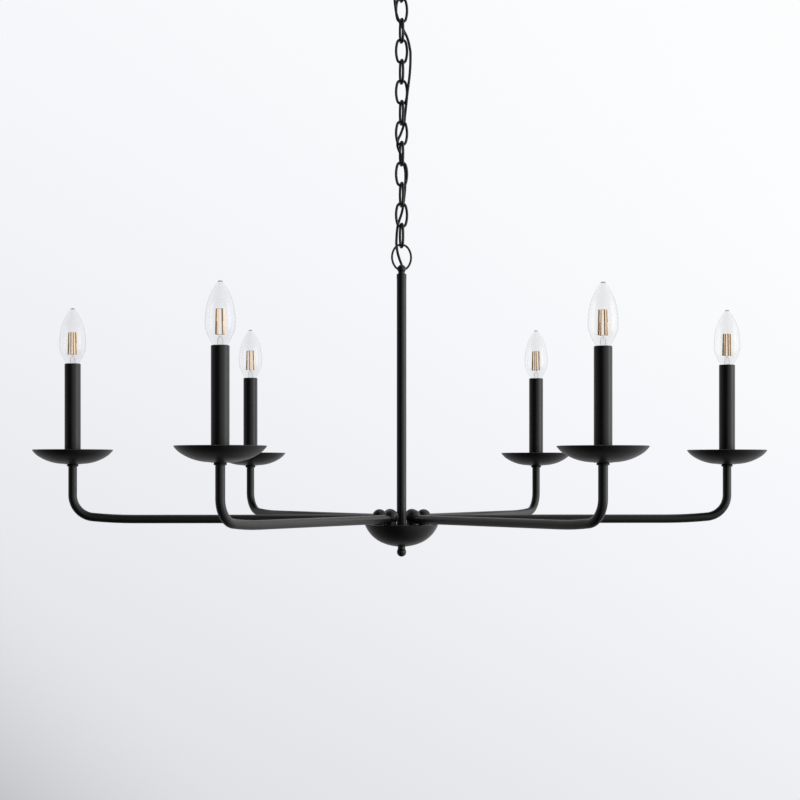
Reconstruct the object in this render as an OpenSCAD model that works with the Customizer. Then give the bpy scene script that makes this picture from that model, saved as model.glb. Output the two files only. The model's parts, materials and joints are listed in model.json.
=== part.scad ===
// Six-arm candle chandelier that hangs on a chain from a ceiling canopy.
// Millimetres. The origin is the centre of the canopy's ceiling face, +Z is up, and arm 1 points along +X.

/* [Chain] */
// Outer height of a chain link
link_h = 34; // [30:0.5:40]
// Outer width of a chain link
link_w = 18.4; // [17:0.1:22]
// Thickness of the link wire
link_wire = 3.5; // [2.5:0.1:4]
// Turn of the even links about the vertical
chain_turn = 14; // [-45:1:45]

/* [Canopy] */
// Diameter of the canopy
canopy_d = 127; // [120:1:150]
// Depth of the canopy below the ceiling
canopy_h = 24; // [20:1:28]
// Distance between the two ceiling screws
screw_spacing = 88.9; // [70:0.1:95]

/* [Column] */
// Outer diameter of the stem tube
stem_d = 12.7; // [11:0.1:16]
// Radius of the circle that the arm knuckles stand on
knuckle_circle_r = 28.9; // [27:0.1:34]

/* [Arms] */
// Distance from the stem's axis to each candle's axis
arm_reach = 430; // [300:5:500]
// Outer diameter of the arm tube
arm_d = 11.3; // [10:0.1:12]
// Centreline radius of the bend below each candle
bend_r = 28.9; // [25:0.1:40]

/* [Candles] */
// Outer diameter of the drip pan
pan_d = 105; // [90:1:110]
// Outer diameter of the candle sleeve
sleeve_d = 21; // [19.5:0.1:21.2]
// Length of the candle sleeve
sleeve_h = 130.5; // [110:0.1:150]

/* [Hidden] */
$fn = 48;

// Colours by material
black_paint = [0.03, 0.03, 0.035];
cord_black = [0.02, 0.02, 0.02];
zinc = [0.7, 0.7, 0.68];
socket_cream = [0.85, 0.82, 0.74];
cap_orange = [0.8, 0.45, 0.12];
clear_glass = [0.9, 0.93, 0.95, 0.35];

// Play between links, and round the plain stand-ins for threads
link_gap = 0.1;
thread_gap = 0.05;
// How far a cutting shape runs past the surface that it cuts
past = 1;
// How far solids of one piece run into each other
lap = 1;
arm_count = 6;

// Threaded pipe in the arms, the hub and the crossbar, and the hexagon nuts on it
pipe_d = 9.6;
pipe_bore = 6;
pipe_hole_d = pipe_d + 2 * thread_gap;
nut_flats = 14;
nut_h = 4;

// Canopy, crossbar, and the loop below them
canopy_wall = 1.2;
canopy_hole_d = 12.8;
canopy_seat_r = 12;
crossbar_size = [108, 18, 2];
screw_hole_d = 4.8;
nipple_top_z = -0.5;
nipple_bottom_z = -20;
ring_nut_d = 22;
ring_nut_h = 7;
loop_w = 27;
loop_h = 33;
loop_wire = 4;
loop_bottom_z = -67;
loop_ball_d = 14;
loop_ball_z = -37.5;
loop_stud_d = 12.5;
loop_stud_top_z = -8;
loop_bore = 5;

// Ovals: the cotangent of half the angle at which the side arc meets the end arc, and the flat on each end
link_corner = 7;
loop_corner = 3;
link_flat = 1.2;

// Chain layout
link_count = 13;
link_pitch = link_h - 2 * link_wire - link_gap;
link_1_z = loop_bottom_z + loop_wire / 2 + link_gap + link_wire - link_h / 2;
function link_z(k) = link_1_z - (k - 1) * link_pitch;
function link_turn(k) = chain_turn + (k % 2 == 1 ? 90 : 0);

// Loop on the stem
ring_w = 28.8;
ring_h = 36;
ring_wire = 2.8;
ring_z = link_z(link_count) - link_h / 2 + link_wire + link_gap + ring_wire - ring_h / 2;
ball_d = 11.5;
ball_z = ring_z - 15.3;
ball_bore = 4.4;
ball_mouth_d = 6.4;
ball_mouth_h = 1.4;
neck_d = 8.8;
stud_d = 8;
stud_h = 12;

// Ribbed coupling between the loop and the stem tube
coupling_top_z = ring_z - 21.5;
coupling_h = 7.3;
coupling_d = 13;
bead_d = 2;
bead_r = 5.6;
bead_rises = [2.2, 5.1];
coupling_round = 1.4;
spigot_h = 12;
stem_top_z = coupling_top_z - coupling_h;
stem_bore = 9.7;

// Hub
plate_z = -781.5;
plate_h = 2.5;
plate_r = 45.2;
bowl_z = -809.9;
bowl_wall = 1.2;
bowl_arcs = [[65, 24], [43, 48.1]];
shank_d = 6.4;
shank_hole_d = 6.6;
hub_nipple_top_z = plate_z + 16;
hub_nipple_step_z = plate_z - 17;
shank_bottom_z = -818;
wire_hole_d = 5;
wire_hole_z = plate_z - 11.5;
finial_neck_d = 10;
finial_ball_d = 12.4;
finial_ball_z = -816.8;
finial_bore = 6.5;
cap_spread = 14;
cap_top_z = plate_z - 5.5;
cap_h = 18;
cap_top_d = 12;
cap_bottom_d = 9;
cap_bore = 7;

// Arm
arm_bore = 9;
arm_z = -773.3;
bend_meet = [52.5, 550];
knuckle_d = 14.3;
knuckle_ball_r = 9.6;
knuckle_ball_h = 11.4;
stud_bottom_z = plate_z - 9.5;
plate_hole_d = 9.7;
collar_d = 15.2;
collar_h = 3;

// Candle stack, measured up from the underside of the pan
pan_z = -701.7;
pan_wall = 1;
pan_hole_d = 10;
pan_seat_r = 10.6;
pan_arcs = [[200, 16], [60, 44], [30, pan_d / 2]];
arm_pipe_top = 12.3;
sleeve_wall = 1.2;
foot_d = 14;
foot_h = 4;
strap_size = [1.4, 6];
strap_r = 5.6;
socket_bottom = 95.7;
socket_top = 127.7;
socket_d = 16.5;
socket_bore = 12.4;

// Bulb, measured down from its tip
bulb_tip = 203.8;
bulb_base_top = 75;
bulb_base_h = 20;
bulb_base_d = 11.9;
bulb_contact_h = 2.5;
bulb_waist = 46;
bulb_r = 17.5;
bulb_contact_d = 5;
glass_wall = 0.8;
lead_hole_d = 1.6;
lead_hole_r = 4.7;
flare_top = 61;
flare_top_r = 0.8;
flare_foot_r = 3.6;
glass_outline = [[0.9, 0.3], [2.4, 1], [4.2, 2.6], [7, 5.6], [9.8, 10], [12.3, 15.2], [14.4, 21.5], [15.8, 27.4],
    [16.8, 34], [17.4, 41], [17.5, 46], [17.2, 51], [16.4, 55.5], [14.9, 59.8], [13, 63.8], [10.9, 67.5],
    [9.3, 70], [8.2, 72.3], [7.3, 75]];

// Cord
cord_d = 3.4;
cord_sides = 8;
cord_top = [0, 0, -3];
cord_bottom = [0, 0, hub_nipple_step_z + 1];
cord_route = [
    [0, 0, -39], [0, 0, -45], [-0.9, -1.4, -51], [-3.5, -4.3, -59], [-6.2, -5.8, -66],
    [-8.2, -5.7, -74], [-9.3, -5.5, -83], [-9.3, -5.3, -92], [-8.3, -5.3, -102], [-7.1, -5.4, -110],
    [-4.5, -5.1, -118], [-1.9, -3.5, -123], [1, -1.6, -128], [3.9, -0.6, -134], [6.5, -0.2, -139],
    [8.3, -0.3, -144], [9.9, -0.3, -150], [10.8, -0.3, -155], [11.6, -0.4, -160], [11.7, -0.4, -168],
    [11.5, -0.9, -177], [10.6, -1.5, -190], [9.1, -2.3, -203], [7.4, -2.6, -216], [6.5, -2.6, -225],
    [5.8, -0.4, -232], [4.6, 3.9, -243], [4.1, 4.8, -249], [2.5, 4.7, -257], [0.9, 4.2, -262],
    [-1.3, 3.6, -268], [-3.7, 3.1, -273], [-5.1, 2.8, -278], [-5.4, 2.6, -282], [-4.6, 2.3, -286],
    [-3, 2.1, -290], [-0.8, 2.2, -295], [1.3, 3.6, -301], [3.3, 4.9, -307], [5, 5.2, -315],
    [5.4, 5.3, -323], [5.1, 5.2, -331], [4.6, 5.3, -341], [3.5, 5.7, -352], [2.5, 6, -360],
    [0.6, 4.8, -370], [-1.9, 3.9, -378], [-4.5, 2.7, -386], [-5.8, 2.4, -394], [-6.4, 2.1, -402],
    [-6.8, 2.1, -410], [-6.2, 2, -417], [-4.8, 1.5, -425], [-2.4, 0.7, -433], [-0.5, 0.1, -438],
    [0, 0, -441], [0, 0, -444]];
cord_path = concat([cord_top], cord_route, [cord_bottom]);

// Points on an arc in a revolved outline: an angle of 0 is straight below the centre, and it grows outward
function arc_points(centre, r, from, to, n = 12) =
    [for (i = [0:n]) let (a = from + (to - from) * i / n) centre + r * [sin(a), -cos(a)]];
function reversed(list) = [for (i = [len(list) - 1:-1:0]) list[i]];
function unit(v) = v / norm(v);

// One skin of a dish that stands on z = 0, from start_r out: arcs of [radius, where it ends] that meet smoothly
function dish_skin(arcs, start_r, inset, centre = undef, k = 0) =
    let (r = arcs[k][0])
    let (middle = k == 0 ? [0, r] : centre)
    let (from = asin((start_r - middle[0]) / (k == 0 ? r - inset : r)))
    let (to = asin((arcs[k][1] - middle[0]) / r))
    concat(arc_points(middle, r - inset, from, to),
        k + 1 == len(arcs) ? []
        : dish_skin(arcs, arcs[k][1], inset, middle + (r - arcs[k + 1][0]) * [sin(to), -cos(to)], k + 1));

module disc(z, h, d) {
    translate([0, 0, z]) cylinder(d = d, h = h);
}

// A wire ring in the XZ plane
module wire_circle(r, wire, steps = 96) {
    rotate([90, 0, 0]) rotate_extrude($fn = steps) translate([r, 0]) circle(d = wire, $fn = 96);
}

// A flat plate in the XZ plane, thick enough to hold the wire
module sector(points, wire) {
    rotate([90, 0, 0]) linear_extrude(height = 2 * wire, center = true) polygon(points);
}

// An oval wire loop in the XZ plane: two side arcs and four end arcs that meet smoothly, with flats between
module oval_loop(w, h, wire, flat, corner) {
    half_w = (w - wire) / 2;
    half_h = (h - wire) / 2;
    across = (corner * corner - 1) / (corner * corner + 1);
    up = 2 * corner / (corner * corner + 1);
    reach = half_w - flat / 2;
    end_r = (corner * reach - half_h) / (corner - 1);
    side_r = (reach - across * end_r) / (1 - across);
    far = side_r + h;
    end_x = flat / 2;
    end_z = half_h - end_r;
    for (side = [0, 1]) mirror([side, 0, 0]) {
        intersection() {
            translate([half_w - side_r, 0, 0]) wire_circle(side_r, wire);
            translate([half_w - side_r, 0, 0]) sector([[0, 0], far * [across, -up], far * [across, up]], wire);
        }
        for (end = [0, 1]) mirror([0, 0, end]) translate([end_x, 0, end_z]) intersection() {
            wire_circle(end_r, wire);
            sector([[0, 0], h * [across, up], [h * across, h], [0, h]], wire);
        }
    }
    if (flat > 0)
        for (end = [-1, 1]) translate([0, 0, end * half_h]) rotate([0, 90, 0])
            cylinder(d = wire, h = flat, center = true);
}

// An oval loop whose lower wire stops inside the ball that it stands on, clear of the bore
module open_loop(w, h, wire, gap) {
    difference() {
        oval_loop(w, h, wire, 0, loop_corner);
        translate([-gap / 2, -wire, -h / 2 - past]) cube([gap, 2 * wire, 2 * wire]);
    }
}

module hex_nut(z, bore) {
    difference() {
        translate([0, 0, z]) cylinder(d = nut_flats / cos(30), h = nut_h, $fn = 6);
        disc(z - past, nut_h + 2 * past, bore);
    }
}

module at_knuckles() {
    for (i = [0:arm_count - 1]) rotate([0, 0, i * 360 / arm_count]) translate([knuckle_circle_r, 0, 0]) children();
}

module at_arm(i) {
    rotate([0, 0, (i - 1) * 360 / arm_count]) children();
}

// Moves to the underside of the pan on arm i
module at_candle(i) {
    at_arm(i) translate([arm_reach, 0, pan_z]) children();
}

// Domed cup against the ceiling, with a flat seat for the ring nut
module canopy() {
    dome_r = (canopy_d * canopy_d / 4 + canopy_h * canopy_h) / (2 * canopy_h);
    centre_z = dome_r - canopy_h;
    inner_r = dome_r - canopy_wall;
    outer = arc_points([0, centre_z], dome_r, asin(canopy_seat_r / dome_r), asin(canopy_d / 2 / dome_r), 24);
    inner = arc_points([0, centre_z], inner_r, asin(canopy_seat_r / inner_r), acos(centre_z / inner_r), 24);
    seat = [[canopy_hole_d / 2, canopy_wall - canopy_h], [canopy_hole_d / 2, -canopy_h], [canopy_seat_r, -canopy_h]];
    color(black_paint) rotate_extrude($fn = 96)
        polygon(concat(seat, outer, reversed(inner), [[canopy_seat_r, canopy_wall - canopy_h]]));
}

// Strap that is screwed to the ceiling box inside the canopy
module crossbar() {
    color(zinc) difference() {
        translate([-crossbar_size[0] / 2, -crossbar_size[1] / 2, -crossbar_size[2]]) cube(crossbar_size);
        disc(-crossbar_size[2] - past, crossbar_size[2] + 2 * past, pipe_hole_d);
        for (side = [-1, 1]) translate([side * screw_spacing / 2, 0, 0])
            disc(-crossbar_size[2] - past, crossbar_size[2] + 2 * past, screw_hole_d);
    }
}

module crossbar_nipple() {
    color(zinc) difference() {
        disc(nipple_bottom_z, nipple_top_z - nipple_bottom_z, pipe_d);
        disc(nipple_bottom_z - past, nipple_top_z - nipple_bottom_z + 2 * past, pipe_bore);
    }
}

module crossbar_nut() {
    color(zinc) hex_nut(-crossbar_size[2] - nut_h, pipe_hole_d);
}

// Oval loop on a ball, with a hollow threaded stud that passes through the canopy
module canopy_loop() {
    stud_bottom_z = loop_ball_z + loop_ball_d / 4;
    color(black_paint) {
        translate([0, 0, loop_bottom_z + (loop_h - loop_wire) / 2]) rotate([180, 0, -chain_turn])
            open_loop(loop_w, loop_h, loop_wire, loop_ball_d / 2);
        difference() {
            union() {
                translate([0, 0, loop_ball_z]) sphere(d = loop_ball_d);
                disc(stud_bottom_z, loop_stud_top_z - stud_bottom_z, loop_stud_d);
            }
            disc(loop_ball_z - loop_ball_d, loop_ball_d + nipple_bottom_z - loop_ball_z + past, loop_bore);
            disc(nipple_bottom_z, loop_stud_top_z - nipple_bottom_z + past, pipe_hole_d);
        }
    }
}

// Ring nut that clamps the canopy
module ring_nut() {
    edge = 1.5;
    color(black_paint) difference() {
        translate([0, 0, -canopy_h - ring_nut_h]) {
            cylinder(d1 = ring_nut_d - 2 * edge, d2 = ring_nut_d, h = edge);
            disc(edge, ring_nut_h - edge, ring_nut_d);
        }
        disc(-canopy_h - ring_nut_h - past, ring_nut_h + 2 * past, loop_stud_d + 2 * thread_gap);
    }
}

module chain_link(k) {
    color(black_paint) translate([0, 0, link_z(k)]) rotate([0, 0, link_turn(k)])
        oval_loop(link_w, link_h, link_wire, link_flat, link_corner);
}

// Supply cord: an eight-sided tube through the points of its path
module cord() {
    count = len(cord_path);
    points = [for (i = [0:count - 1])
        let (t = unit(cord_path[min(i + 1, count - 1)] - cord_path[max(i - 1, 0)]))
        let (e1 = unit(cross([0, 1, 0], t)))
        let (e2 = cross(t, e1))
        for (j = [0:cord_sides - 1])
            let (a = j * 360 / cord_sides)
            cord_path[i] + cord_d / 2 * (cos(a) * e1 + sin(a) * e2)];
    sides = [for (i = [0:count - 2]) for (j = [0:cord_sides - 1])
        let (a = i * cord_sides + j)
        let (b = i * cord_sides + (j + 1) % cord_sides)
        for (face = [[a, b + cord_sides, b], [a, a + cord_sides, b + cord_sides]]) face];
    first = [for (j = [0:cord_sides - 1]) j];
    last = [for (j = [cord_sides - 1:-1:0]) (count - 1) * cord_sides + j];
    color(cord_black) polyhedron(points = points, faces = concat([first], sides, [last]));
}

// Oval loop on a ball that hangs from the last link, with a hollow stud for the coupling
module stem_loop() {
    color(black_paint) {
        translate([0, 0, ring_z]) rotate([0, 0, chain_turn]) open_loop(ring_w, ring_h, ring_wire, ball_d / 2);
        difference() {
            union() {
                translate([0, 0, ball_z]) sphere(d = ball_d);
                disc(coupling_top_z, ball_z - coupling_top_z, neck_d);
                disc(coupling_top_z - stud_h, stud_h, stud_d);
            }
            disc(coupling_top_z - stud_h - past, stud_h + ball_z - coupling_top_z + ball_d, ball_bore);
            translate([0, 0, ball_z + ball_d / 2 - ball_mouth_h])
                cylinder(d1 = ball_bore, d2 = ball_mouth_d, h = ball_mouth_h);
        }
    }
}

// Ribbed collar with a spigot that fits in the stem tube
module coupling() {
    body_r = coupling_d / 2;
    color(black_paint) translate([0, 0, stem_top_z]) difference() {
        union() {
            rotate_extrude() {
                square([body_r, coupling_h - coupling_round]);
                square([body_r - coupling_round, coupling_h]);
                translate([body_r - coupling_round, coupling_h - coupling_round]) circle(r = coupling_round);
                for (rise = bead_rises) translate([bead_r, rise]) circle(d = bead_d);
            }
            disc(-spigot_h, spigot_h, pipe_d);
        }
        disc(coupling_h - stud_h - past, stud_h + 2 * past, stud_d + 2 * thread_gap);
        disc(-spigot_h - past, spigot_h + coupling_h, pipe_bore);
    }
}

module stem() {
    color(black_paint) difference() {
        disc(plate_z, stem_top_z - plate_z, stem_d);
        disc(plate_z - past, stem_top_z - plate_z + 2 * past, stem_bore);
    }
}

module hub_plate() {
    color(black_paint) difference() {
        translate([0, 0, plate_z - plate_h]) cylinder(r = plate_r, h = plate_h, $fn = 96);
        disc(plate_z - plate_h - past, plate_h + 2 * past, plate_hole_d);
        at_knuckles() disc(plate_z - plate_h - past, plate_h + 2 * past, plate_hole_d);
    }
}

module hub_bowl() {
    hole_r = shank_hole_d / 2;
    outer = dish_skin(bowl_arcs, hole_r, 0);
    inner = dish_skin(bowl_arcs, hole_r, bowl_wall);
    color(black_paint) translate([0, 0, bowl_z]) rotate_extrude($fn = 96) polygon(concat(outer, reversed(inner)));
}

// Hollow above for the wires, which leave by the cross hole, and a thin shank below for the finial
module hub_nipple() {
    color(zinc) difference() {
        union() {
            disc(hub_nipple_step_z, hub_nipple_top_z - hub_nipple_step_z, pipe_d);
            disc(shank_bottom_z, hub_nipple_step_z - shank_bottom_z, shank_d);
        }
        disc(cord_bottom[2], hub_nipple_top_z - cord_bottom[2] + past, pipe_bore);
        translate([0, 0, wire_hole_z]) rotate([90, 0, 0])
            cylinder(d = wire_hole_d, h = pipe_d + 2 * past, center = true);
    }
}

module finial() {
    color(black_paint) difference() {
        union() {
            disc(finial_ball_z, bowl_z - finial_ball_z, finial_neck_d);
            translate([0, 0, finial_ball_z]) sphere(d = finial_ball_d);
        }
        disc(shank_bottom_z - link_gap, bowl_z - shank_bottom_z + past, finial_bore);
    }
}

module hub_nuts() {
    nut_z = plate_z - plate_h - nut_h;
    color(zinc) {
        hex_nut(nut_z, pipe_hole_d);
        at_knuckles() hex_nut(nut_z, pipe_hole_d);
    }
}

// Caps over the joints between the cord and the lamp wires
module wire_caps() {
    color(cap_orange) for (side = [-1, 1]) translate([0, side * cap_spread, cap_top_z - cap_h]) difference() {
        cylinder(d1 = cap_bottom_d, d2 = cap_top_d, h = cap_h);
        disc(bowl_wall, cap_h, cap_bore);
    }
}

// The arm's tube at diameter d, with its pipe end at diameter p: used for the outside and for the bore. The bend is
// a tight arc below the candle, then a shallow one that eases into the straight run. bend_meet leads from the centre
// of the tight arc to the centre of the shallow one, and both arcs end on that line.
module arm_solid(d, p, run_start) {
    shallow_r = bend_r + norm(bend_meet);
    bend_x = arm_reach - bend_r;
    bend_z = arm_z + shallow_r - bend_meet[1];
    shallow_x = bend_x - bend_meet[0];
    near = bend_meet / 10;
    far = bend_meet + near;
    translate([run_start, 0, arm_z]) rotate([0, 90, 0]) cylinder(d = d, h = shallow_x - run_start);
    translate([shallow_x, 0, bend_z + bend_meet[1]]) intersection() {
        wire_circle(shallow_r, d, 720);
        sector([[0, 0], [0, -far[1]], [far[0], -far[1]]], d);
    }
    translate([bend_x, 0, bend_z]) intersection() {
        wire_circle(bend_r, d);
        sector([[0, 0], [near[0], -near[1]], [near[1], -near[1]], [near[1], 0]], d);
    }
    translate([arm_reach, 0, 0]) {
        disc(bend_z, pan_z - collar_h - bend_z + lap, d);
        disc(pan_z - collar_h, collar_h + arm_pipe_top, p);
    }
}

// Knuckle that swivels on the hub plate, with its stud, the bent tube, the bead collar and the threaded end
module arm(i) {
    bead = collar_h / 2;
    color(black_paint) at_arm(i) difference() {
        union() {
            arm_solid(arm_d, pipe_d, knuckle_circle_r);
            translate([knuckle_circle_r, 0, plate_z]) {
                disc(0, knuckle_ball_h, knuckle_d);
                translate([0, 0, knuckle_ball_h]) sphere(r = knuckle_ball_r);
                disc(stud_bottom_z - plate_z, plate_z - stud_bottom_z, pipe_d);
            }
            translate([arm_reach, 0, pan_z - collar_h]) rotate_extrude() {
                square([collar_d / 2 - bead, collar_h]);
                translate([collar_d / 2 - bead, bead]) circle(r = bead);
            }
        }
        arm_solid(arm_bore, pipe_bore, knuckle_circle_r);
        translate([knuckle_circle_r, 0, 0]) disc(stud_bottom_z - past, arm_z - stud_bottom_z + past, pipe_bore);
        translate([arm_reach, 0, pan_z]) disc(0, arm_pipe_top + past, pipe_bore);
    }
}

// Drip pan, with a flat seat for the candle sleeve
module pan(i) {
    outer = dish_skin(pan_arcs, pan_seat_r, 0);
    inner = dish_skin(pan_arcs, pan_seat_r, pan_wall);
    seat = [[pan_hole_d / 2, pan_wall], [pan_hole_d / 2, 0], [pan_seat_r, 0]];
    color(black_paint) at_candle(i) rotate_extrude($fn = 96)
        polygon(concat(seat, outer, reversed(inner), [[pan_seat_r, pan_wall]]));
}

// Candle sleeve with a rounded top edge
module sleeve(i) {
    outer_r = sleeve_d / 2;
    inner_r = outer_r - sleeve_wall;
    edge = arc_points([inner_r, sleeve_h - sleeve_wall], sleeve_wall, 90, 180, 6);
    color(black_paint) at_candle(i) translate([0, 0, pan_wall]) rotate_extrude()
        polygon(concat([[inner_r, 0], [outer_r, 0]], edge));
}

// Lamp socket on a strap, whose foot screws onto the arm's pipe and clamps the pan
module socket(i) {
    floor_z = bulb_tip - bulb_base_top - bulb_base_h - bulb_contact_h;
    color(socket_cream) at_candle(i) difference() {
        union() {
            disc(pan_wall, foot_h, foot_d);
            translate([strap_r, -strap_size[1] / 2, pan_wall + lap])
                cube([strap_size[0], strap_size[1], socket_bottom - pan_wall]);
            disc(socket_bottom, socket_top - socket_bottom, socket_d);
        }
        disc(0, foot_h + 2 * past, pipe_hole_d);
        disc(floor_z, socket_top - floor_z + past, socket_bore);
    }
}

// Candle bulb with a screw base: hollow glass with a glass stem inside it, and a lead hole beside the contact
module bulb(i) {
    inset = 1 - glass_wall / bulb_r;
    outside = [for (p = glass_outline) [p[0], -p[1]]];
    inside = [for (p = glass_outline) [p[0] * inset, -bulb_waist - (p[1] - bulb_waist) * (1 - glass_wall / bulb_waist)]];
    base_r = bulb_base_d / 2;
    base_z = -bulb_base_top - bulb_base_h;
    color(clear_glass) at_candle(i) translate([0, 0, bulb_tip]) {
        difference() {
            union() {
                rotate_extrude($fn = 72) polygon(concat([[0, -bulb_base_top], [0, 0]], outside));
                disc(base_z, bulb_base_h, bulb_base_d);
                translate([0, 0, base_z - bulb_contact_h])
                    cylinder(d1 = bulb_contact_d, d2 = bulb_base_d, h = bulb_contact_h);
            }
            difference() {
                rotate_extrude($fn = 72)
                    polygon(concat([[0, inside[len(inside) - 1][1]], [0, inside[0][1]]], inside));
                translate([0, 0, -bulb_base_top])
                    cylinder(r1 = flare_foot_r, r2 = flare_top_r, h = bulb_base_top - flare_top);
            }
            translate([lead_hole_r, 0, 0])
                disc(base_z - bulb_contact_h - past, bulb_contact_h + bulb_base_h + 2 * past, lead_hole_d);
        }
    }
}

canopy();
crossbar();
crossbar_nipple();
crossbar_nut();
canopy_loop();
ring_nut();
chain_link(1);  // chain_link_01
chain_link(2);  // chain_link_02
chain_link(3);  // chain_link_03
chain_link(4);  // chain_link_04
chain_link(5);  // chain_link_05
chain_link(6);  // chain_link_06
chain_link(7);  // chain_link_07
chain_link(8);  // chain_link_08
chain_link(9);  // chain_link_09
chain_link(10);  // chain_link_10
chain_link(11);  // chain_link_11
chain_link(12);  // chain_link_12
chain_link(13);  // chain_link_13
cord();
stem_loop();
coupling();
stem();
hub_plate();
hub_bowl();
hub_nipple();
finial();
hub_nuts();
wire_caps();
arm(1);  // arm_1
arm(2);  // arm_2
arm(3);  // arm_3
arm(4);  // arm_4
arm(5);  // arm_5
arm(6);  // arm_6
pan(1);  // pan_1
pan(2);  // pan_2
pan(3);  // pan_3
pan(4);  // pan_4
pan(5);  // pan_5
pan(6);  // pan_6
sleeve(1);  // sleeve_1
sleeve(2);  // sleeve_2
sleeve(3);  // sleeve_3
sleeve(4);  // sleeve_4
sleeve(5);  // sleeve_5
sleeve(6);  // sleeve_6
socket(1);  // socket_1
socket(2);  // socket_2
socket(3);  // socket_3
socket(4);  // socket_4
socket(5);  // socket_5
socket(6);  // socket_6
bulb(1);  // bulb_1
bulb(2);  // bulb_2
bulb(3);  // bulb_3
bulb(4);  // bulb_4
bulb(5);  // bulb_5
bulb(6);  // bulb_6
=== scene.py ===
"""Six-arm candle chandelier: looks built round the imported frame, in metres, ceiling face at z = 0."""

import json
import math

import bpy
from mathutils import Matrix, Vector


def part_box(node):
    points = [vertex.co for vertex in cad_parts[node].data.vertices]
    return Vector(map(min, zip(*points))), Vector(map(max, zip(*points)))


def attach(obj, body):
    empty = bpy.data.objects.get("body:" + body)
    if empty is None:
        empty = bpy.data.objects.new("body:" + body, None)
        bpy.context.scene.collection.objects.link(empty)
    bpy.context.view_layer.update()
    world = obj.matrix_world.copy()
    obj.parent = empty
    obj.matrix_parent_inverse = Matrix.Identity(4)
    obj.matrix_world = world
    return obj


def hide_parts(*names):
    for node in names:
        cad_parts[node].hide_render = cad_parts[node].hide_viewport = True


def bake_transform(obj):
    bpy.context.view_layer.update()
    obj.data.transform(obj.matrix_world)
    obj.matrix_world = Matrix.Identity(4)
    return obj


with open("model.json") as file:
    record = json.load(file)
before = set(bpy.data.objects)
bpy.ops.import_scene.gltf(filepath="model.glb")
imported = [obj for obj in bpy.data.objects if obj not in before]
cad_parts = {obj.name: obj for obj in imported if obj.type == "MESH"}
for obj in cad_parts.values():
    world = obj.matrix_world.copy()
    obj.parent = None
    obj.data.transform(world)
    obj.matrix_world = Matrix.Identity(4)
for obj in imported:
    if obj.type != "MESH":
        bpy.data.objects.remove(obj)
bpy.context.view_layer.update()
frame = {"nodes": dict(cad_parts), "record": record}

MM = 0.001
ARM_COUNT = 6
LINK_COUNT = 13


# ---------------------------------------------------------------- places read from the frame

def centre_of(node):
    """The middle of a node's box at rest."""
    low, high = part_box(node)
    return [(a + b) / 2 for a, b in zip(low, high)]


def pan_base(number):
    """The middle of a pan's underside."""
    low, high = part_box(f"pan_{number}")
    return Vector(((low[0] + high[0]) / 2, (low[1] + high[1]) / 2, low[2]))


CHAIN_PITCH = (centre_of("chain_link_01")[2] - centre_of("chain_link_13")[2]) / (LINK_COUNT - 1)
LINK_1_Z = centre_of("chain_link_01")[2]
BULB_TIP_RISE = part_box("bulb_1")[1][2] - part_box("pan_1")[0][2]


# ---------------------------------------------------------------- camera

CAMERA_TURN = math.radians(1.8)
CAMERA_DISTANCE = 2.556
CAMERA_OFFSET = -0.00205
CAMERA_HEIGHT = -0.7143
LENS = 87.56
SHIFT_UP = 0.0924
SENSOR_WIDTH = 36
NEAREST_SEEN = 0.05
FURTHEST_SEEN = 100

# Level directions: from the camera to the object, and to the picture's right
ahead = Vector((math.sin(CAMERA_TURN), math.cos(CAMERA_TURN), 0))
right = Vector((math.cos(CAMERA_TURN), -math.sin(CAMERA_TURN), 0))


def make_camera():
    """A level camera in front of the candles, a little to one side, with the picture's framing moved up."""
    data = bpy.data.cameras.new("camera")
    data.lens = LENS
    data.sensor_width = SENSOR_WIDTH
    data.shift_y = SHIFT_UP
    data.clip_start = NEAREST_SEEN
    data.clip_end = FURTHEST_SEEN
    camera = bpy.data.objects.new("camera", data)
    bpy.context.collection.objects.link(camera)
    camera.location = right * CAMERA_OFFSET - ahead * CAMERA_DISTANCE + Vector((0, 0, CAMERA_HEIGHT))
    camera.rotation_mode = "QUATERNION"
    camera.rotation_quaternion = ahead.to_track_quat("-Z", "Y")
    bpy.context.scene.camera = camera


make_camera()


# ---------------------------------------------------------------- mesh helpers

# A radius below this is a point on the axis
POINT_RADIUS = 1e-7


def mesh_object(name, vertices, faces):
    """A smooth-shaded object, linked into the scene."""
    mesh = bpy.data.meshes.new(name)
    mesh.from_pydata([tuple(v) for v in vertices], [], faces)
    mesh.update()
    for polygon in mesh.polygons:
        polygon.use_smooth = True
    made = bpy.data.objects.new(name, mesh)
    bpy.context.collection.objects.link(made)
    return made


def joined(name, parts):
    """One object from (vertices, faces, material index) parts."""
    vertices, faces, slots = [], [], []
    for part_vertices, part_faces, slot in parts:
        start = len(vertices)
        vertices += part_vertices
        faces += [tuple(i + start for i in face) for face in part_faces]
        slots += [slot] * len(part_faces)
    made = mesh_object(name, vertices, faces)
    for polygon, slot in zip(made.data.polygons, slots):
        polygon.material_index = slot
    return made


def lathe(outline, flats, place=Matrix.Identity(4)):
    """Vertices and faces of an outline of (radius, height) points turned about Z. Radius 0 closes an end."""
    vertices, rings = [], []
    for radius, height in outline:
        if radius < POINT_RADIUS:
            rings.append([len(vertices)])
            vertices.append(place @ Vector((0, 0, height)))
            continue
        rings.append(list(range(len(vertices), len(vertices) + flats)))
        for i in range(flats):
            angle = 2 * math.pi * i / flats
            vertices.append(place @ Vector((radius * math.cos(angle), radius * math.sin(angle), height)))
    faces = []
    for below, above in zip(rings, rings[1:]):
        for i in range(flats):
            j = (i + 1) % flats
            if len(below) == 1 and len(above) == 1:
                continue
            if len(below) == 1:
                faces.append((below[0], above[j], above[i]))
            elif len(above) == 1:
                faces.append((below[i], below[j], above[0]))
            else:
                faces.append((below[i], below[j], above[j], above[i]))
    return vertices, faces


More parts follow.
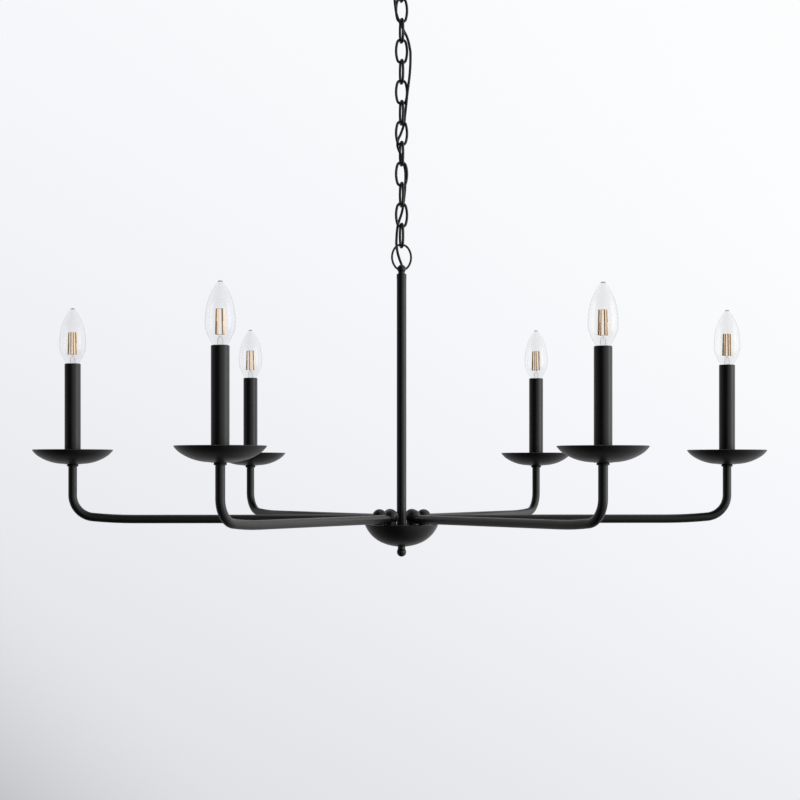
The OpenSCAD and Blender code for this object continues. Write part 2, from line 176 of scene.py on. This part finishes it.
def tube(points, radii, sides=16):
    """Vertices and faces of a closed tube along points, with a radius at each point."""
    points = [Vector(p) for p in points]
    vertices, faces = [], []
    side = None
    for i, point in enumerate(points):
        tangent = (points[min(i + 1, len(points) - 1)] - points[max(i - 1, 0)]).normalized()
        if side is None:
            side = tangent.orthogonal().normalized()
        side = (side - tangent * side.dot(tangent)).normalized()
        other = tangent.cross(side)
        for j in range(sides):
            angle = 2 * math.pi * j / sides
            vertices.append(point + radii[i] * (side * math.cos(angle) + other * math.sin(angle)))
    for i in range(len(points) - 1):
        for j in range(sides):
            a = i * sides + j
            b = i * sides + (j + 1) % sides
            faces.append((a, b, b + sides, a + sides))
    faces.append(tuple(range(sides - 1, -1, -1)))
    faces.append(tuple((len(points) - 1) * sides + j for j in range(sides)))
    return vertices, faces


def smooth_through(points, steps):
    """A Catmull-Rom curve through points, with so many steps between each two."""
    points = [Vector(p) for p in points]
    curve = []
    for i in range(len(points) - 1):
        before = points[max(i - 1, 0)]
        start, end = points[i], points[i + 1]
        after = points[min(i + 2, len(points) - 1)]
        for k in range(steps):
            t = k / steps
            curve.append(0.5 * (2 * start + (end - before) * t
                                + (2 * before - 5 * start + 4 * end - after) * t ** 2
                                + (3 * start - 3 * end + after - before) * t ** 3))
    curve.append(points[-1])
    return curve


# ---------------------------------------------------------------- the cord

CORD_DIAMETER = 0.0034
# The cord's ends, inside the canopy and inside the hub, in millimetres
CORD_TOP = (0, 0, -3)
CORD_BOTTOM = (0, 0, -797.5)
# From the canopy loop, in and out of the links, to the stem, in millimetres
CORD_ROUTE = [
    (0, 0, -39), (0, 0, -45), (-0.9, -1.4, -51), (-3.5, -4.3, -59), (-6.2, -5.8, -66),
    (-8.2, -5.7, -74), (-9.3, -5.5, -83), (-9.3, -5.3, -92), (-8.3, -5.3, -102), (-7.1, -5.4, -110),
    (-4.5, -5.1, -118), (-1.9, -3.5, -123), (1, -1.6, -128), (3.9, -0.6, -134), (6.5, -0.2, -139),
    (8.3, -0.3, -144), (9.9, -0.3, -150), (10.8, -0.3, -155), (11.6, -0.4, -160), (11.7, -0.4, -168),
    (11.5, -0.9, -177), (10.6, -1.5, -190), (9.1, -2.3, -203), (7.4, -2.6, -216), (6.5, -2.6, -225),
    (5.8, -0.4, -232), (4.6, 3.9, -243), (4.1, 4.8, -249), (2.5, 4.7, -257), (0.9, 4.2, -262),
    (-1.3, 3.6, -268), (-3.7, 3.1, -273), (-5.1, 2.8, -278), (-5.4, 2.6, -282), (-4.6, 2.3, -286),
    (-3, 2.1, -290), (-0.8, 2.2, -295), (1.3, 3.6, -301), (3.3, 4.9, -307), (5, 5.2, -315),
    (5.4, 5.3, -323), (5.1, 5.2, -331), (4.6, 5.3, -341), (3.5, 5.7, -352), (2.5, 6, -360),
    (0.6, 4.8, -370), (-1.9, 3.9, -378), (-4.5, 2.7, -386), (-5.8, 2.4, -394), (-6.4, 2.1, -402),
    (-6.8, 2.1, -410), (-6.2, 2, -417), (-4.8, 1.5, -425), (-2.4, 0.7, -433), (-0.5, 0.1, -438),
    (0, 0, -441), (0, 0, -444)]
# Each cord piece runs this far past the middle of a link, inside its neighbour, a little thinner
CORD_LAP = 0.0022
CORD_LAP_THIN = 0.97
# How many steps the smooth cord takes between each two points of its route
CORD_STEPS = 4


def cord_curve():
    """The whole cord's path in metres: smooth in the chain, straight in the canopy and in the stem."""
    route = [Vector(p) * MM for p in CORD_ROUTE]
    middle = smooth_through(route, CORD_STEPS)
    return [Vector(CORD_TOP) * MM] + middle + [Vector(CORD_BOTTOM) * MM]


def cut_between(curve, top, bottom):
    """The part of a falling curve between two heights."""

    def at(height):
        for a, b in zip(curve, curve[1:]):
            if a.z >= height >= b.z:
                return a.lerp(b, (a.z - height) / (a.z - b.z))
        return curve[0] if height > curve[0].z else curve[-1]

    inner = [p for p in curve if bottom < p.z < top]
    return [at(top)] + inner + [at(bottom)]


def make_cord():
    """One piece of cord for each joint of the chain, cut where the joint is."""
    curve = cord_curve()
    names = [f"link_{k:02d}_swing" for k in range(1, LINK_COUNT + 1)] + ["column_swing"]
    pieces = []
    for k, name in enumerate(names):
        top = curve[0].z if k == 0 else LINK_1_Z - (k - 1) * CHAIN_PITCH + CORD_LAP
        bottom = curve[-1].z if k == LINK_COUNT else LINK_1_Z - k * CHAIN_PITCH - CORD_LAP
        path = cut_between(curve, top, bottom)
        radii = [CORD_DIAMETER / 2] * len(path)
        if k > 0:
            radii[0] *= CORD_LAP_THIN
        if k < LINK_COUNT:
            radii[-1] *= CORD_LAP_THIN
        piece = joined(f"cord_{k + 1:02d}", [(*tube(path, radii), 0)])
        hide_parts("cord")
        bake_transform(piece)
        pieces.append(piece)
    return pieces


cord_pieces = make_cord()


# ---------------------------------------------------------------- material helpers

def linear(value):
    """A 0 to 255 screen tone as linear light."""
    value /= 255
    return value / 12.92 if value <= 0.04045 else ((value + 0.055) / 1.055) ** 2.4


def tone(red, green, blue):
    """A screen colour of 0 to 255 parts as a linear colour."""
    return (linear(red), linear(green), linear(blue), 1)


def grey(value):
    """A linear grey."""
    return (value, value, value, 1)


def new_material(name):
    """A node material, with its nodes and links."""
    material = bpy.data.materials.new(name)
    material.use_nodes = True
    return material, material.node_tree.nodes, material.node_tree.links


def noise(nodes, links, scale, detail=2.0):
    """Noise in the object's own space, in cells a metre."""
    place = nodes.new("ShaderNodeTexCoord")
    made = nodes.new("ShaderNodeTexNoise")
    made.inputs["Scale"].default_value = scale
    made.inputs["Detail"].default_value = detail
    made.inputs["Roughness"].default_value = 0.5
    links.new(place.outputs["Object"], made.inputs["Vector"])
    return made


def ramp(nodes, links, source, stops):
    """A colour ramp through (position, colour) stops."""
    made = nodes.new("ShaderNodeValToRGB")
    made.color_ramp.elements[0].position = stops[0][0]
    made.color_ramp.elements[0].color = stops[0][1]
    made.color_ramp.elements[1].position = stops[-1][0]
    made.color_ramp.elements[1].color = stops[-1][1]
    for position, colour in stops[1:-1]:
        made.color_ramp.elements.new(position).color = colour
    links.new(source, made.inputs["Fac"])
    return made


def mapped(nodes, links, source, low, high, start=0.3, end=0.7):
    """A value that goes from low to high as its source goes from start to end."""
    made = nodes.new("ShaderNodeMapRange")
    made.inputs["From Min"].default_value = start
    made.inputs["From Max"].default_value = end
    made.inputs["To Min"].default_value = low
    made.inputs["To Max"].default_value = high
    links.new(source, made.inputs["Value"])
    return made


def bump(nodes, links, source, distance):
    """Relief of so many metres from a 0 to 1 source."""
    made = nodes.new("ShaderNodeBump")
    made.inputs["Strength"].default_value = 1.0
    made.inputs["Distance"].default_value = distance
    links.new(source, made.inputs["Height"])
    return made


# The clouds of a finish: cells a metre, octaves, and the noise values of its dark and light tones
CLOUD_SCALE = 25
CLOUD_DETAIL = 4
CLOUD_STOPS = (0.35, 0.65)


def coated(name, dark, light, rough, grain, depth, metallic=0.0, specular=0.5):
    """A finish with cloudy tone and gloss, and a fine grain that stands up from the surface."""
    material, nodes, links = new_material(name)
    shader = nodes["Principled BSDF"]
    shader.inputs["Metallic"].default_value = metallic
    shader.inputs["Specular IOR Level"].default_value = specular
    clouds = noise(nodes, links, CLOUD_SCALE, CLOUD_DETAIL)
    colour = ramp(nodes, links, clouds.outputs["Fac"], list(zip(CLOUD_STOPS, (dark, light))))
    links.new(colour.outputs["Color"], shader.inputs["Base Color"])
    gloss = mapped(nodes, links, clouds.outputs["Fac"], *rough)
    links.new(gloss.outputs["Result"], shader.inputs["Roughness"])
    fine = noise(nodes, links, grain)
    relief = bump(nodes, links, fine.outputs["Fac"], depth)
    links.new(relief.outputs["Normal"], shader.inputs["Normal"])
    return material


# ---------------------------------------------------------------- materials

POWDER_COAT = coated("black powder coat", tone(7, 7, 7), tone(10, 10, 10),
                     rough=(0.34, 0.4), grain=1500, depth=0.000001)
ZINC = coated("zinc plate", tone(168, 168, 165), tone(192, 192, 188),
              rough=(0.25, 0.42), grain=900, depth=0.00001, metallic=1.0)
CORD_JACKET = coated("cord jacket", tone(10, 10, 10), tone(14, 14, 14),
                     rough=(0.55, 0.65), grain=2500, depth=0.000004)
SOCKET = coated("socket moulding", tone(216, 208, 190), tone(228, 222, 206),
                rough=(0.4, 0.5), grain=700, depth=0.00002)
WIRE_CAP = coated("wire cap", tone(214, 120, 30), tone(226, 136, 44),
                  rough=(0.35, 0.5), grain=500, depth=0.00002)
BRASS = coated("lamp base", tone(196, 168, 104), tone(214, 186, 122),
               rough=(0.22, 0.38), grain=900, depth=0.00001, metallic=1.0)
BLACK_GLASS = coated("base insulator", tone(20, 20, 24), tone(30, 30, 34),
                     rough=(0.1, 0.2), grain=400, depth=0.00001)
WIRE = coated("lead wire", tone(120, 118, 114), tone(150, 148, 142),
              rough=(0.3, 0.45), grain=900, depth=0.00001, metallic=1.0)
# The filaments' coat comes in two copies: a darker brown with painted shade for the side away from the key
# light, and a pale cream with painted light for the lit side
FILAMENT_PAINTED_SHADE = coated("filament painted shade", tone(152, 122, 86), tone(166, 136, 98),
                       rough=(0.4, 0.55), grain=1500, depth=0.000002, specular=0.05)
FILAMENT_PAINTED_LIGHT = coated("filament painted light", tone(234, 206, 172), tone(240, 213, 180),
                        rough=(0.35, 0.5), grain=1500, depth=0.000002, specular=0.05)


def glow(material, colour, strength):
    """A weak light from the coat itself, in place of the daylight that a real coat lets through."""
    shader = material.node_tree.nodes["Principled BSDF"]
    shader.inputs["Emission Color"].default_value = colour
    shader.inputs["Emission Strength"].default_value = strength


# The glow is weaker and browner on the painted-shade copy, and stronger and paler on the painted-light copy
glow(FILAMENT_PAINTED_SHADE, tone(160, 130, 94), strength=0.2)
glow(FILAMENT_PAINTED_LIGHT, tone(246, 222, 192), strength=0.4)

GLASS_WAVES = 60
GLASS_WAVE_DETAIL = 1
GLASS_ROUGH = (0.26, 0.32)


def clear_glass(name, middle, rim, outline, gloss):
    """Thin clear glass. Facing runs from 0 where the wall faces the eye to 1 where it turns away. The tint of
    what is behind goes from the middle's tone to the rim's and then to the outline's."""
    material, nodes, links = new_material(name)
    nodes.remove(nodes["Principled BSDF"])
    output = nodes["Material Output"]
    weight = nodes.new("ShaderNodeLayerWeight")
    weight.inputs["Blend"].default_value = 0.5
    facing = weight.outputs["Facing"]
    through = nodes.new("ShaderNodeBsdfTransparent")
    stops = [(0.0, middle), (0.25, middle), (0.5, rim), (0.7, rim), (0.9, outline)]
    shade = ramp(nodes, links, facing, stops)
    links.new(shade.outputs["Color"], through.inputs["Color"])
    mirror = nodes.new("ShaderNodeBsdfGlossy")
    waviness = noise(nodes, links, GLASS_WAVES, GLASS_WAVE_DETAIL)
    rough = mapped(nodes, links, waviness.outputs["Fac"], *GLASS_ROUGH)
    links.new(rough.outputs["Result"], mirror.inputs["Roughness"])
    shine = mapped(nodes, links, facing, *gloss, start=0.5, end=1.0)
    mix = nodes.new("ShaderNodeMixShader")
    links.new(shine.outputs["Result"], mix.inputs["Fac"])
    links.new(through.outputs["BSDF"], mix.inputs[1])
    links.new(mirror.outputs["BSDF"], mix.inputs[2])
    links.new(mix.outputs["Shader"], output.inputs["Surface"])
    return material


BULB_GLASS = clear_glass("bulb glass", middle=tone(254, 254, 254), rim=tone(255, 255, 255),
                         outline=tone(236, 237, 239), gloss=(0.04, 0.05))
STEM_GLASS = clear_glass("inner glass", middle=tone(252, 252, 252), rim=tone(226, 227, 229),
                         outline=tone(16, 17, 18), gloss=(0.02, 0.1))
PIP_GLASS = clear_glass("sealed tip glass", middle=tone(225, 227, 230), rim=tone(150, 152, 156),
                        outline=tone(60, 62, 66), gloss=(0.1, 0.3))

# The finish of each of the record's material slots
SLOT_MATERIALS = {
    "powder_coat": POWDER_COAT,
    "zinc_steel": ZINC,
    "cord_jacket": CORD_JACKET,
    "socket_body": SOCKET,
    "cap_plastic": WIRE_CAP,
    "bulb_glass": BULB_GLASS,
}


def paint(piece, *materials):
    """Gives a new piece its materials. Its faces keep their material numbers."""
    for material in materials:
        piece.data.materials.append(material)


def paint_cad_nodes():
    """Gives every CAD node the finish of its material slot."""
    for subpart in frame["record"]["subparts"]:
        node = frame["nodes"][subpart["node"]]
        node.data.materials.clear()
        node.data.materials.append(SLOT_MATERIALS[subpart["material_slot"]])


paint_cad_nodes()
for cord_piece in cord_pieces:
    paint(cord_piece, CORD_JACKET)


# ---------------------------------------------------------------- bulbs, in millimetres below the tip

# Outlines are (radius, depth) points
GLASS_OUTLINE = [
    (0, 0.9), (1.6, 0.95), (2.7, 1.3), (3.5, 2), (4.5, 3.3), (6.2, 5.8), (8, 9), (10.2, 13), (12.3, 17.6),
    (14, 22.4), (15.2, 27), (16.1, 32), (16.8, 37), (17.2, 41.5), (17.35, 46), (17.1, 51), (16.3, 55.5),
    (14.8, 59.8), (12.9, 63.8), (10.8, 67.5), (9.2, 70), (8.1, 72.3), (7, 74.5), (6, 75.8)]
PIP_OUTLINE = [(0, 0), (1.3, 0.1), (2.3, 0.5), (3, 1.3)]
GLASS_WALL = 0.7
GLASS_RADIUS = 17.5
GLASS_WAIST = 46
BASE_TOP = 75
BASE_BOTTOM = 95
BASE_RADIUS = 5.95
# The shell's shoulder: how far in its edge is, how far it laps the glass, and how far down its step is
BASE_SHOULDER = 0.9
BASE_LAP = 0.4
BASE_STEP = 0.6
CONTACT_BOTTOM = 97.5
CONTACT_RADIUS = 2.5
CONTACT_HEIGHT = 0.9
CONTACT_STEPS = 6
THREAD_PITCH = 2.5
THREAD_DEPTH = 0.5
THREAD_STEPS = 8
# The thread starts this far below the shell's top, and no turn starts nearer than this to its bottom
THREAD_START = 2
THREAD_END = 2.5
FILAMENT_TOP = 31.6
FILAMENT_BOTTOM = 60.3
FILAMENT_RADIUS = 1.4
FILAMENT_RING_TOP = 4.5
FILAMENT_RING_BOTTOM = 5.4
FILAMENT_COUNT = 4
FILAMENT_SIDES = 16
# Where the painted light on the right side ends and the painted shade on the left begins, in filament radii
# to the right of the middle
PAINTED_LIGHT_EDGE = 0.1
WIRE_RADIUS = 0.14
WIRE_SIDES = 8
# How far past the filaments' ends the wires meet
WIRE_RISE = 0.4
# How many flats there are round each turned shape
GLASS_FLATS = 72
PIP_FLATS = 32
BASE_FLATS = 48
STEM_FLATS = 40
# How far each bulb happens to be turned in its socket, in degrees
BULB_TURNS = [12, -20, -8, -10, 40, 20]
STEM_OUTLINE = [(0, 62.3), (1.1, 62.5), (2, 63.2), (2.7, 64.5), (3.1, 66.4), (3.3, 69), (3.4, 72),
                (3.5, 75.5)]
STEM_TOP = STEM_OUTLINE[0][1]
# How deep the middle wire's foot sits in the stem
ROOT_DEPTH = 0.8


def curve_outline(outline, steps=4):
    """A smooth outline through (radius, depth) points, as (radius, height) in metres."""
    curve = smooth_through([(r, -d, 0) for r, d in outline], steps)
    return [(max(p.x, 0) * MM, p.y * MM) for p in curve]


def in_metres(outline):
    """A (radius, height) outline from millimetres to metres."""
    return [(r * MM, z * MM) for r, z in outline]


def envelope():
    """The glass: down its outside, and up its inside."""
    outside = curve_outline(GLASS_OUTLINE)
    narrower = 1 - GLASS_WALL / GLASS_RADIUS
    shorter = 1 - GLASS_WALL / GLASS_WAIST
    inner = [(r * narrower, GLASS_WAIST + (d - GLASS_WAIST) * shorter) for r, d in GLASS_OUTLINE]
    inside = curve_outline(inner)
    return outside + inside[::-1]


def screw_base():
    """The screw shell's outline: a shoulder under the glass, then a rolled thread."""
    outline = [(0, -BASE_TOP + BASE_LAP), (BASE_RADIUS - BASE_SHOULDER, -BASE_TOP + BASE_LAP),
               (BASE_RADIUS - THREAD_DEPTH, -BASE_TOP - BASE_STEP)]
    depth = BASE_TOP + THREAD_START
    while depth < BASE_BOTTOM - THREAD_END:
        for i in range(THREAD_STEPS):
            wave = (1 - math.cos(2 * math.pi * i / THREAD_STEPS)) / 2
            outline.append((BASE_RADIUS - THREAD_DEPTH * wave, -depth - THREAD_PITCH * i / THREAD_STEPS))
        depth += THREAD_PITCH
    outline.append((BASE_RADIUS - THREAD_DEPTH, -BASE_BOTTOM))
    outline.append((0, -BASE_BOTTOM))
    return in_metres(outline)[::-1]


def insulator():
    """The dark glass cone between the shell and the contact."""
    outline = [(0, -CONTACT_BOTTOM + 0.8), (2.6, -CONTACT_BOTTOM + 0.8), (4.2, -BASE_BOTTOM - 0.7),
               (5.3, -BASE_BOTTOM), (0, -BASE_BOTTOM)]
    return in_metres(outline)


def contact():
    """The round solder contact at the foot."""
    outline = [(0, -CONTACT_BOTTOM)]
    for i in range(1, CONTACT_STEPS + 1):
        angle = math.pi / 2 * i / CONTACT_STEPS
        height = CONTACT_HEIGHT * (1 - math.cos(angle))
        outline.append((CONTACT_RADIUS * math.sin(angle), -CONTACT_BOTTOM + height))
    outline.append((0, -CONTACT_BOTTOM + CONTACT_HEIGHT))
    return in_metres(outline)


def inner_stem():
    """The glass press that carries the filaments: a round top that widens to the neck."""
    return curve_outline(STEM_OUTLINE)[::-1]


def filament_rod(foot, head, place):
    """A rod with painted light on its right side and painted shade on its left side."""
    vertices, faces = tube([foot, foot.lerp(head, 0.5), head], [FILAMENT_RADIUS * MM] * 3, FILAMENT_SIDES)
    middle = (foot + head) / 2
    front, back = [], []
    # Faces right of the edge take the painted light, and faces left of it take the painted shade
    for face in faces:
        spot = sum((vertices[i] for i in face), Vector()) / len(face)
        side = back if spot.x < middle.x + PAINTED_LIGHT_EDGE * FILAMENT_RADIUS * MM else front
        side.append(face)
    moved = [place @ v for v in vertices]
    return [(moved, front, 0), (moved, back, 1)]


def below_tip(depth):
    """A point on the bulb's axis, this far below its tip."""
    return Vector((0, 0, -depth * MM))


def filaments_and_wires(number, place):
    """The filament cage's parts: rods round a ring, each with a wire at its foot and one at its head."""
    crown = below_tip(FILAMENT_TOP - WIRE_RISE)
    spider = below_tip(FILAMENT_BOTTOM + WIRE_RISE)
    rods = []
    lines = [(below_tip(STEM_TOP + ROOT_DEPTH), spider)]
    for i in range(FILAMENT_COUNT):
        angle = 2 * math.pi * i / FILAMENT_COUNT + math.radians(BULB_TURNS[number - 1])
        out = Vector((math.cos(angle), math.sin(angle), 0))
        foot = out * FILAMENT_RING_BOTTOM * MM + below_tip(FILAMENT_BOTTOM)
        head = out * FILAMENT_RING_TOP * MM + below_tip(FILAMENT_TOP)
        rods += filament_rod(foot, head, place)
        lines += [(spider, foot), (crown, head)]
    wires = []
    for start, end in lines:
        ends = [place @ start, place @ start.lerp(end, 0.5), place @ end]
        wires.append((*tube(ends, [WIRE_RADIUS * MM] * 3, WIRE_SIDES), 0))
    return rods, wires


def make_bulb(number):
    """A bulb in its arm's candle: it hides the CAD bulb and rides on the same body."""
    place = Matrix.Translation(pan_base(number) + Vector((0, 0, BULB_TIP_RISE)))

    glass = joined(f"bulb_glass_{number}", [(*lathe(envelope(), GLASS_FLATS, place), 0)])
    paint(glass, BULB_GLASS)
    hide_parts(f"bulb_{number}")

    pip = joined(f"bulb_pip_{number}", [(*lathe(curve_outline(PIP_OUTLINE), PIP_FLATS, place), 0)])
    paint(pip, PIP_GLASS)

    screw = joined(f"bulb_base_{number}", [
        (*lathe(screw_base(), BASE_FLATS, place), 0),
        (*lathe(insulator(), BASE_FLATS, place), 1),
        (*lathe(contact(), BASE_FLATS, place), 0)])
    paint(screw, BRASS, BLACK_GLASS)

    press = joined(f"bulb_stem_{number}", [(*lathe(inner_stem(), STEM_FLATS, place), 0)])
    paint(press, STEM_GLASS)

    rods, wires = filaments_and_wires(number, place)
    filaments = joined(f"bulb_filaments_{number}", rods)
    # The right side of each rod gets the painted light, and the left side gets the painted shade
    paint(filaments, FILAMENT_PAINTED_LIGHT, FILAMENT_PAINTED_SHADE)
    leads = joined(f"bulb_wires_{number}", wires)
    paint(leads, WIRE)

    for piece in (glass, pip, screw, press, filaments, leads):
        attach(piece, f"lamp_{number}")


for bulb_number in range(1, ARM_COUNT + 1):
    make_bulb(bulb_number)


# ---------------------------------------------------------------- world, floor and lights

# How many picture widths a unit of sideways or upward direction spans, and how far down the horizon is
PICTURE_SCALE = 2.43
HORIZON_DOWN = 0.592

# The backdrop's screen tone at the middle of the top edge, what it gains across the picture (at the top, and
# the extra at the bottom), what it loses downwards (at first, and the extra at the bottom), and the shade in
# the bottom left corner
BACKDROP_TONE = 250.0
ACROSS_GAIN = (7.0, 11.0)
DOWN_LOSS = (6.0, 16.0)
CORNER_START = 1.15
CORNER_LOSS = 240.0

# The backdrop's colours run from this tone in equal steps up to nearly white, a little bluer than grey
DARKEST_TONE = 195
TONE_STEP = 12
TONE_STEPS = 5
LIGHTEST = (254, 255, 255)

# The room round the object, as (turn, light): a turn of 0 or 1 is behind it, 0.25 at its left, 0.5 at the
# camera and 0.75 at its right
ROOM_TURNS = [(0.0, 0.87), (0.12, 0.7), (0.2, 0.36), (0.29, 0.3), (0.36, 0.05), (0.48, 0.015), (0.52, 0.6),
              (0.6, 1.05), (0.7, 1.45), (0.85, 1.35), (1.0, 0.87)]
# How strong the room's light is, as (height, strength): a height of 0 is straight below and 1 straight above
ROOM_HEIGHTS = [(0.0, 0.06), (0.07, 0.2), (0.2, 0.4), (0.33, 0.6), (0.45, 0.9), (0.6, 1.0), (1.0, 0.5)]


def math_node(nodes, links, operation, first, second):
    """The result of a sum on two values, each a number or another node's output."""
    made = nodes.new("ShaderNodeMath")
    made.operation = operation
    for socket, value in zip(made.inputs, (first, second)):
        if isinstance(value, (int, float)):
            socket.default_value = value
        else:
            links.new(value, socket)
    return made.outputs["Value"]


def dot_node(nodes, links, vector, direction):
    """How far a vector goes in a direction."""
    made = nodes.new("ShaderNodeVectorMath")
    made.operation = "DOT_PRODUCT"
    made.inputs[1].default_value = direction
    links.new(vector, made.inputs[0])
    return made.outputs["Value"]


def backdrop_shader(nodes, links, place):
    """The pale wall that the camera sees, a little darker below and to the left."""

    def maths(operation, first, second):
        return math_node(nodes, links, operation, first, second)

    # across runs from -0.5 at the picture's left to 0.5 at its right, and down from 0 at its top to 1
    across = maths("MULTIPLY", dot_node(nodes, links, place, right), PICTURE_SCALE)
    rise = dot_node(nodes, links, place, (0, 0, 1))
    down = maths("SUBTRACT", HORIZON_DOWN, maths("MULTIPLY", rise, PICTURE_SCALE))
    gain = maths("ADD", ACROSS_GAIN[0], maths("MULTIPLY", down, ACROSS_GAIN[1]))
    loss = maths("ADD", DOWN_LOSS[0], maths("MULTIPLY", down, DOWN_LOSS[1]))
    level = maths("ADD", BACKDROP_TONE, maths("MULTIPLY", across, gain))
    level = maths("SUBTRACT", level, maths("MULTIPLY", down, loss))
    corner = maths("MAXIMUM", maths("SUBTRACT", maths("SUBTRACT", down, across), CORNER_START), 0.0)
    level = maths("SUBTRACT", level, maths("MULTIPLY", maths("MULTIPLY", corner, corner), CORNER_LOSS))
    step = maths("DIVIDE", maths("SUBTRACT", level, DARKEST_TONE), TONE_STEP * TONE_STEPS)
    stops = []
    for k in range(TONE_STEPS):
        base = DARKEST_TONE + TONE_STEP * k
        stops.append((k / TONE_STEPS, tone(base, base + 1, base + 5)))
    stops.append((1.0, tone(*LIGHTEST)))
    colour = ramp(nodes, links, step, stops)
    seen = nodes.new("ShaderNodeBackground")
    links.new(colour.outputs["Color"], seen.inputs["Color"])
    return seen


def room_shader(nodes, links, place):
    """The room that lights the object: dark just left of the camera, grey on the left, bright on the right
    and behind, dim overhead and dimmer underneath."""
    back = math_node(nodes, links, "MULTIPLY", dot_node(nodes, links, place, ahead), -1.0)
    angle = math_node(nodes, links, "ARCTAN2", dot_node(nodes, links, place, right), back)
    turn = math_node(nodes, links, "ADD", math_node(nodes, links, "DIVIDE", angle, 2 * math.pi), 0.5)
    round_room = ramp(nodes, links, turn, [(position, grey(light)) for position, light in ROOM_TURNS])
    half_rise = math_node(nodes, links, "MULTIPLY", dot_node(nodes, links, place, (0, 0, 1)), 0.5)
    height = math_node(nodes, links, "ADD", half_rise, 0.5)
    by_height = ramp(nodes, links, height, [(position, grey(light)) for position, light in ROOM_HEIGHTS])
    surround = nodes.new("ShaderNodeBackground")
    links.new(round_room.outputs["Color"], surround.inputs["Color"])
    links.new(by_height.outputs["Color"], surround.inputs["Strength"])
    return surround


def make_world():
    """The camera sees the backdrop. Light and reflections come from the room instead."""
    world = bpy.data.worlds.new("studio")
    bpy.context.scene.world = world
    world.use_nodes = True
    nodes, links = world.node_tree.nodes, world.node_tree.links
    nodes.clear()
    output = nodes.new("ShaderNodeOutputWorld")
    place = nodes.new("ShaderNodeTexCoord").outputs["Generated"]
    surround = room_shader(nodes, links, place)
    seen = backdrop_shader(nodes, links, place)
    path = nodes.new("ShaderNodeLightPath")
    mix = nodes.new("ShaderNodeMixShader")
    links.new(path.outputs["Is Camera Ray"], mix.inputs["Fac"])
    links.new(surround.outputs["Background"], mix.inputs[1])
    links.new(seen.outputs["Background"], mix.inputs[2])
    links.new(mix.outputs["Shader"], output.inputs["Surface"])


FLOOR_Z = -3.3
FLOOR_RADIUS = 9.0
FLOOR_FLATS = 96


def make_floor():
    """A plain round floor, which the black paint doesn't mirror."""
    disc = [(0, FLOOR_Z), (FLOOR_RADIUS / 2, FLOOR_Z), (FLOOR_RADIUS, FLOOR_Z)]
    floor = joined("floor", [(*lathe(disc, FLOOR_FLATS), 0)])
    paint(floor, coated("pale floor", tone(232, 233, 236), tone(238, 239, 242),
                        rough=(0.6, 0.75), grain=40, depth=0.0002))
    floor.visible_glossy = False


def area_light(name, position, target, width, height, power):
    """A rectangular softbox that faces its target."""
    data = bpy.data.lights.new(name, "AREA")
    data.shape = "RECTANGLE"
    data.size = width
    data.size_y = height
    data.energy = power
    made = bpy.data.objects.new(name, data)
    bpy.context.collection.objects.link(made)
    made.location = position
    made.rotation_mode = "QUATERNION"
    made.rotation_quaternion = (Vector(target) - Vector(position)).to_track_quat("-Z", "Y")


# Where the lights point
MIDDLE = (0, 0, -0.6)

make_world()
make_floor()
area_light("key softbox", (3.0, -0.9, -0.4), MIDDLE, width=1.6, height=2.6, power=26)
area_light("top softbox", (0.3, 0.4, 2.4), MIDDLE, width=2.4, height=2.4, power=8)

bpy.context.scene.view_settings.view_transform = "Standard"
